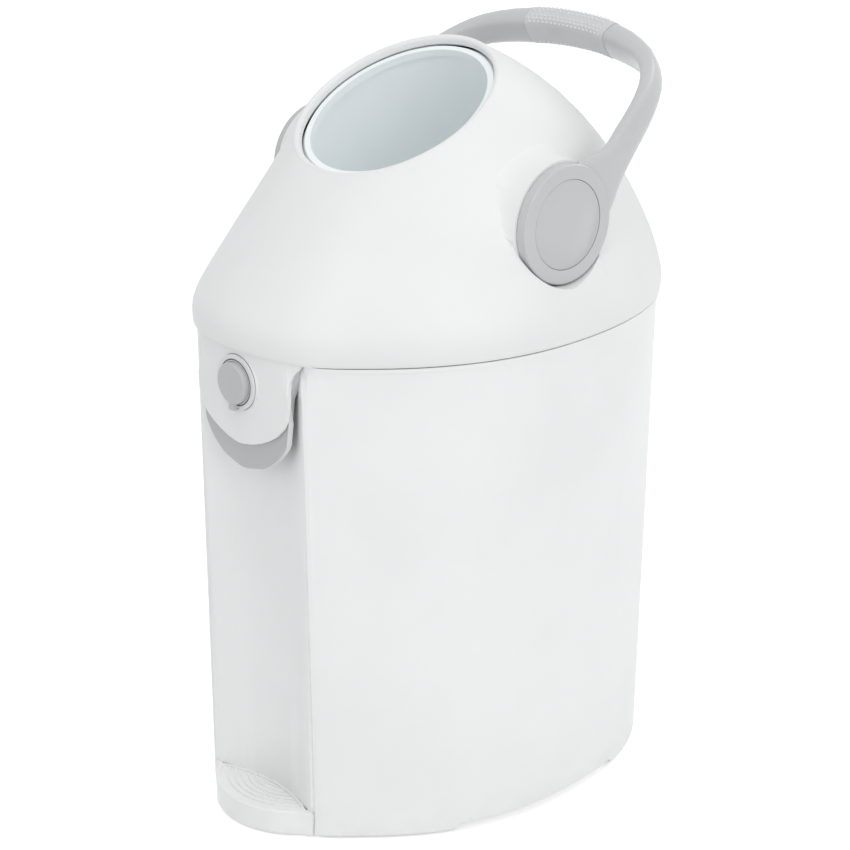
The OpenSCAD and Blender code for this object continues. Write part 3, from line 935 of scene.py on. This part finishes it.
@dataclass
class Hood:
    """Hood with its gasket, mouth seal, bushes, button bezel and latch."""

    palette: Palette
    tab_outline: Curve = Curve(((0, 304), (12.7, 307), (22.4, 310), (29.7, 313.5), (36.6, 318.7), (42.4, 326),
                                (44.8, 332), (46.6, 344), (47.5, 355), (49, 361.5), (51.6, 366.4)))
    front_fit: FrontFit = FrontFit()
    # height below which the tab is cut, and the cuts' distances from the middle plane
    tab_cut_top: float = 315.0
    tab_cuts: tuple[float, ...] = (3.5, 7.0, 10.5)
    # lean of the mouth in degrees; the zone of its lip starts at this height along the mouth's axis
    tilt: float = 29.5
    lip_foot: float = 56.0
    # centre of the lip's rounding (from the mouth's axis, and along it), and its radius
    ring: tuple[float, float] = (79.0, 79.0)
    lip: float = 3.0
    # angle in degrees at which the rounding starts in the source and in the skin; it ends at 90
    lip_start: float = -9.0
    skin_start: float = 57.0
    # the dome beside the lip: where it starts, heights over which it moves, and how far in and up
    dome_from: float = 81.5
    dome_rise: tuple[float, float] = (60.0, 78.5)
    dome_move: tuple[float, float] = (1.3, 3.0)
    # rim of the seat behind each disc: its radius, its inner side and its top over the axle
    pocket: float = 45.1
    disc_back: float = 130.2
    rim_top: float = 22.0
    # share of the rim's width that is kept at the back, and how far behind the axle it falls to that
    rim_kept: float = 0.75
    rim_fall: tuple[float, float] = (-6.0, 18.0)
    # distance from the middle plane and swell of each seat's foot, and its distance from the axle
    swell: tuple[tuple[float, float], ...] = ((101.0, 5.5), (102.5, 5.1), (106.5, 3.3), (111.0, 1.8),
                                              (117.0, 0.78), (124.0, 0.24), (129.8, 0.0))
    seat_zone: tuple[float, float] = (45.0, 55.0)
    # zone round each seat that is smoothed: distances from the middle plane, distances from the axle
    soft: tuple[float, float, float, float] = (94.0, 126.0, 45.0, 64.0)
    passes: int = 6
    # the button: its height, the radius of its recess that gets painted shade, and the y behind which the
    # shade is painted
    button: tuple[float, float, float] = (351.5, 17.0, -182.3)
    # radius, half thickness and y of each dark ring of painted shadow round it, and its depth as a share of
    # its thickness
    shadow_gap_rings: tuple[tuple[float, float, float], ...] = ((16.95, 0.5, -184.0), (20.55, 0.28, -182.1))
    line_depth: float = 0.45

    def blend_lip(self, point: Vector) -> Vector:
        """Lets the dome run into the lip of the mouth without a step.

        Args:
            point: Point of the hood in millimetres.

        Returns:
            Its new place.
        """
        turn = Matrix.Rotation(math.radians(self.tilt), 3, "X")
        centre = Vector((0.0, *AXLE))
        local = turn.transposed() @ (point - centre)
        out, high = math.hypot(local.x, local.y), local.z
        if high < self.lip_foot or out < self.ring[0]:
            return point
        away = math.hypot(out - self.ring[0], high - self.ring[1])
        angle = math.degrees(math.atan2(high - self.ring[1], out - self.ring[0]))
        if abs(away - self.lip) < 0.08 and angle > self.lip_start:
            angle = 90.0 - (90.0 - angle) * (90.0 - self.skin_start) / (90.0 - self.lip_start)
            new_out = self.ring[0] + self.lip * math.cos(math.radians(angle))
            new_high = self.ring[1] + self.lip * math.sin(math.radians(angle))
        elif out > self.dome_from:
            share = ease(high, *self.dome_rise)
            new_out, new_high = out - self.dome_move[0] * share, high + self.dome_move[1] * share
        else:
            return point
        local = Vector((local.x * new_out / out, local.y * new_out / out, new_high))
        return turn @ local + centre

    def slim_seat(self, point: Vector) -> Vector:
        """Draws the seat behind each disc in, so that the dome runs close to the disc.

        Args:
            point: Point of the hood in millimetres.

        Returns:
            Its new place.
        """
        side = abs(point.x)
        y, z = point.y - AXLE[0], point.z - AXLE[1]
        out = math.hypot(y, z)
        if side > self.disc_back and abs(out - self.pocket) < 0.3 and z < self.rim_top:
            kept = between(1.0, self.rim_kept, ease(y, *self.rim_fall))
            side = self.disc_back + (side - self.disc_back) * kept
            return Vector((math.copysign(side, point.x), point.y, point.z))
        near, far = self.seat_zone
        if not (self.swell[0][0] < side < self.swell[-1][0] and near < out < far):
            return point
        for (a, low), (b, high) in zip(self.swell, self.swell[1:]):
            if a <= side <= b:
                new = out - between(low, high, (side - a) / (b - a))
                return Vector((point.x, AXLE[0] + y * new / out, AXLE[1] + z * new / out))
        return point

    def shape(self, point: Vector) -> Vector:
        """All corrections of the hood's skin."""
        return self.slim_seat(self.blend_lip(self.front_fit.move(self.tab_outline.move(point))))

    def round_seat(self, corner: Any) -> bool:
        """Tells whether a corner of the hood's outside lies round a seat.

        Args:
            corner: Corner of the hood's mesh.

        Returns:
            True where it is smoothed.
        """
        inner, outer, near, far = self.soft
        point = corner.co / MM
        y, z = point.y - AXLE[0], point.z - AXLE[1]
        faces_out = corner.normal.y * y + corner.normal.z * z > 0.0
        return faces_out and inner < abs(point.x) < outer and near < math.hypot(y, z) < far

    def soften_seat(self, hood: Object) -> None:
        """Lets the dome flow into the seat behind each disc.

        Args:
            hood: Skin of the hood.
        """
        choose(hood)
        pick(hood, "VERT", self.round_seat)
        bpy.ops.mesh.vertices_smooth(factor=0.5, repeat=self.passes)
        mode("OBJECT")

    def paint_shade_in_recess(self, bezel: Object) -> None:
        """Paints shade into the gap round the button: its faces get the dark bearing material.

        Args:
            bezel: Skin of the button's bezel.
        """
        # the dark bearing material on these faces is painted shade, not the bezel's own colour
        bezel.data.materials.append(self.palette.bearing)
        height, radius, depth = self.button
        for face in bezel.data.polygons:
            x, y, z = face.center / MM
            if math.hypot(x, z - height) < radius and y > depth:
                face.material_index = 1

    def ring_the_button(self) -> None:
        """Adds two fine dark rings round the button that paint the shadow in its gaps."""
        parts = []
        for radius, wire, y in self.shadow_gap_rings:
            clear_selection()
            bpy.ops.mesh.primitive_torus_add(
                major_radius=radius * MM, minor_radius=wire * MM, major_segments=96, minor_segments=8,
                location=(0.0, y * MM, self.button[0] * MM), rotation=(math.pi / 2, 0.0, 0.0))
            made = bpy.context.object
            made.scale.z = self.line_depth
            settle(made)
            parts.append(made)
        lines = join(parts)
        smooth(lines, 60.0)
        # the rings' dark bearing material is painted shadow in the gaps round the button
        hand_over(lines, "button_painted_shadow_rings", Body.HOOD, self.palette.bearing)

    def build(self) -> None:
        """Dresses the hood's nodes."""
        hood = skin("hood", Body.HOOD, self.palette.hood_white, 34.0)
        slice_front(hood, self.tab_cut_top, *self.tab_cuts)
        shift_points(hood, self.shape)
        self.soften_seat(hood)
        smooth(hood, 58.0)
        bezel = skin("button_bezel", Body.HOOD, self.palette.bezel, 40.0)
        self.paint_shade_in_recess(bezel)
        self.ring_the_button()
        skin("release_button", Body.BUTTON, self.palette.button_grey, 40.0)
        dress_nodes(self.palette.rubber, "hood_gasket", "mouth_seal")
        dress_nodes(self.palette.bearing, "bush_left", "bush_right")
        dress_nodes(self.palette.steel, "latch_pin", "button_spring")
        dress_nodes(self.palette.grey, "latch_lever")


@dataclass
class GripDots:
    """Small raised dots on the grip, in staggered rows round the bar."""

    palette: Palette
    # lean of the handle at rest, and direction of each row round the bar's section, in degrees
    lift: float = 33.7
    rows: tuple[float, ...] = (-155.0, -14.0, 10.0, 30.0, 48.0, 66.0, 84.0, 100.0, 116.0, 134.0)
    # step from dot to dot, a dot's radius, and the share of it that is sunk, and half a row's length
    pitch: float = 4.3
    radius: float = 0.9
    sunk: float = 0.25
    half_length: float = 40.0
    # first dot's place and every second row's shift, in steps
    start: float = 0.25
    stagger: float = 0.5
    # x, and distance of the bar's middle line from the drum's axis
    bar: tuple[tuple[float, float], ...] = (
        (-43.0, 175.7), (-30.0, 178.0), (-15.0, 179.2), (0.0, 179.5), (15.0, 179.2), (30.0, 178.0),
        (43.0, 175.7))
    # half thickness and half width of the section, and the powers of its outline and its normal
    section: tuple[float, float] = (10.3, 13.8)
    outline_power: float = 0.62
    normal_power: float = 2.2

    def on_bar(self, x: float, angle: float) -> tuple[Vector, Vector]:
        """Point and outward direction on the bar's surface.

        Args:
            x: Place along the bar in millimetres.
            angle: Direction round the section in degrees, 0 outwards, 90 to the upper side.

        Returns:
            Point in metres and unit normal.
        """
        (a, low), (b, high) = next(ends for ends in zip(self.bar, self.bar[1:]) if x <= ends[1][0])
        reach = between(low, high, (x - a) / (b - a))
        c, s = math.cos(math.radians(angle)), math.sin(math.radians(angle))
        thick, wide = self.section
        u = math.copysign(abs(c) ** self.outline_power, c) * thick
        w = math.copysign(abs(s) ** self.outline_power, s) * wide
        normal = Vector((0.0, math.copysign(abs(u / thick) ** self.normal_power, u) / thick,
                         math.copysign(abs(w / wide) ** self.normal_power, w) / wide))
        turn = Matrix.Rotation(math.radians(self.lift), 3, "X")
        point = turn @ Vector((x, reach + u, w)) + Vector((0.0, *AXLE))
        return point * MM, (turn @ normal).normalized()

    def build(self) -> None:
        """Models one dot and copies it along the rows."""
        clear_selection()
        bpy.ops.mesh.primitive_uv_sphere_add(segments=8, ring_count=6, radius=self.radius * MM)
        dot = bpy.context.object
        mode("EDIT")
        bpy.ops.mesh.select_all(action="SELECT")
        bpy.ops.mesh.bisect(plane_co=(0, 0, -self.sunk * self.radius * MM), plane_no=(0, 0, 1),
                            clear_inner=True, use_fill=True)
        mode("OBJECT")
        copies = []
        for row, angle in enumerate(self.rows):
            for k in range(int(2 * self.half_length / self.pitch)):
                x = -self.half_length + (k + self.stagger * (row % 2) + self.start) * self.pitch
                point, normal = self.on_bar(x, angle)
                made = add_object("dot", dot.data.copy())
                turn = normal.to_track_quat("Z", "Y").to_matrix().to_4x4()
                made.matrix_world = Matrix.Translation(point) @ turn
                copies.append(made)
        bpy.data.objects.remove(dot)
        piece = join(copies)
        settle(piece)
        smooth(piece, 60.0)
        # the dots' paler grey paints their highlights
        hand_over(piece, "grip_dots", Body.DRUM, self.palette.dots)


@dataclass
class Drum:
    """Turning drum with its cup, axles and bow handle."""

    palette: Palette
    # width of the handle's rounded edges, and the angle from which an edge is rounded
    edge_width: float = 0.45
    edge_angle: float = 34.0

    def build(self) -> None:
        """Dresses the drum's nodes."""
        skin("drum_shell", Body.DRUM, self.palette.hood_white, 30.0)
        skin("drum_cup", Body.DRUM, self.palette.cup, 30.0)
        handle = skin("handle", Body.DRUM, self.palette.grey, 38.0)
        round_edges(handle, self.edge_width, self.edge_angle)
        skin("grip_pad", Body.DRUM, self.palette.grip, 38.0)
        skin("disc_cap_left", Body.DRUM, self.palette.grey, 50.0)
        skin("disc_cap_right", Body.DRUM, self.palette.grey, 50.0)
        dress_nodes(self.palette.steel, "axle_left", "axle_right", "axle_screws", "hub_screws")
        GripDots(self.palette).build()


@dataclass
class Piston:
    """Sliding floor of the cup."""

    palette: Palette

    def build(self) -> None:
        """Dresses the piston's nodes."""
        skin("piston_plate", Body.PISTON, self.palette.cup, 30.0)
        dress_nodes(self.palette.steel, "piston_weight")
        dress_nodes(self.palette.rubber, "piston_wiper")


@dataclass(frozen=True)
class Lamp:
    """Soft square lamp: its place and edge in metres, and its power in watts."""

    name: str
    place: tuple[float, float, float]
    size: float
    power: float

    def light(self, aim: Vector) -> None:
        """Adds the lamp.

        Args:
            aim: Point that it looks at, in metres.
        """
        data = bpy.data.lights.new(self.name, "AREA")
        data.shape = "SQUARE"
        data.size = self.size
        data.energy = self.power
        made = add_object(self.name, data)
        made.location = self.place
        made.rotation_mode = "QUATERNION"
        made.rotation_quaternion = (aim - Vector(self.place)).to_track_quat("-Z", "Y")


@dataclass
class Studio:
    """Camera at the photograph's angle, pale floor and soft light."""

    # the camera: its direction in degrees, its distance and target in metres, and its lens in millimetres
    azimuth: float = 47.287
    elevation: float = 20.306
    distance: float = 1.875
    target: tuple[float, float, float] = (0.0, 0.0, 0.273)
    lens: float = 102.9
    sensor: float = 36.0
    # the floor: its edge in metres, its grey, and how much it glows for the camera
    floor_size: float = 12.0
    floor_grey: float = 0.9
    floor_glow: float = 0.5
    # colour and strength of the surround's light
    sky: tuple[float, float, float] = (0.97, 0.985, 1.0)
    sky_strength: float = 0.62
    lamps: tuple[Lamp, ...] = (
        Lamp("key", (0.5, -2.7, 2.2), 1.6, 8.2), Lamp("side", (2.6, -0.5, 1.6), 1.8, 18.5),
        Lamp("back", (0.5, 2.4, 2.0), 1.4, 8.0), Lamp("top", (0.1, -0.7, 2.8), 1.3, 10.8))
    lamp_aim: tuple[float, float, float] = (0.0, 0.0, 0.3)

    def camera(self) -> None:
        """Places the camera."""
        a, e = math.radians(self.azimuth), math.radians(self.elevation)
        back = Vector((math.sin(a) * math.cos(e), -math.cos(a) * math.cos(e), math.sin(e)))
        data = bpy.data.cameras.new("studio_camera")
        data.lens = self.lens
        data.sensor_width = self.sensor
        cam = add_object("studio_camera", data)
        cam.location = Vector(self.target) + back * self.distance
        cam.rotation_mode = "QUATERNION"
        cam.rotation_quaternion = (-back).to_track_quat("-Z", "Y")
        bpy.context.scene.camera = cam

    def floor(self) -> None:
        """Lays the pale floor."""
        clear_selection()
        bpy.ops.mesh.primitive_plane_add(size=self.floor_size, location=(0, 0, 0))
        ground = bpy.context.object
        ground.name = "studio_floor"
        g = Graph.of_material("floor_white")
        matte = g.node("ShaderNodeBsdfDiffuse", None, {"Color": (*[self.floor_grey] * 3, 1.0)})
        glow = g.node("ShaderNodeEmission", None,
                      {"Color": (1.0, 1.0, 1.0, 1.0), "Strength": g.seen() * self.floor_glow})
        both = g.node("ShaderNodeAddShader", None, {0: matte.outputs[0], 1: glow.outputs[0]})
        dress(ground, g.finish(both))

    def world(self) -> None:
        """Sets a soft, even surround that the camera sees as pure white."""
        g = Graph(bpy.data.worlds.new("studio_world"), "ShaderNodeOutputWorld")
        soft = g.node("ShaderNodeBackground", None, {0: (*self.sky, 1.0), 1: self.sky_strength})
        white = g.node("ShaderNodeBackground", None, {0: (1.0, 1.0, 1.0, 1.0), 1: 1.0})
        bpy.context.scene.world = g.finish(
            g.node("ShaderNodeMixShader", None, {0: g.seen(), 1: soft.outputs[0], 2: white.outputs[0]}))

    def build(self) -> None:
        """Builds the studio."""
        self.camera()
        self.floor()
        self.world()
        for lamp in self.lamps:
            lamp.light(Vector(self.lamp_aim))
        bpy.context.scene.view_settings.view_transform = "Standard"


def main() -> None:
    """Builds the bin's looks in order."""
    logging.basicConfig(level=logging.INFO, format="%(name)s %(message)s")
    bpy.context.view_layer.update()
    studio = Studio()
    studio.build()
    palette = Palette()
    for part in (Tub(palette), Hood(palette), Drum(palette), Piston(palette)):
        part.build()
        log.info("%s done", type(part).__name__)
    clear_selection()


if __name__ == "__main__":
    main()
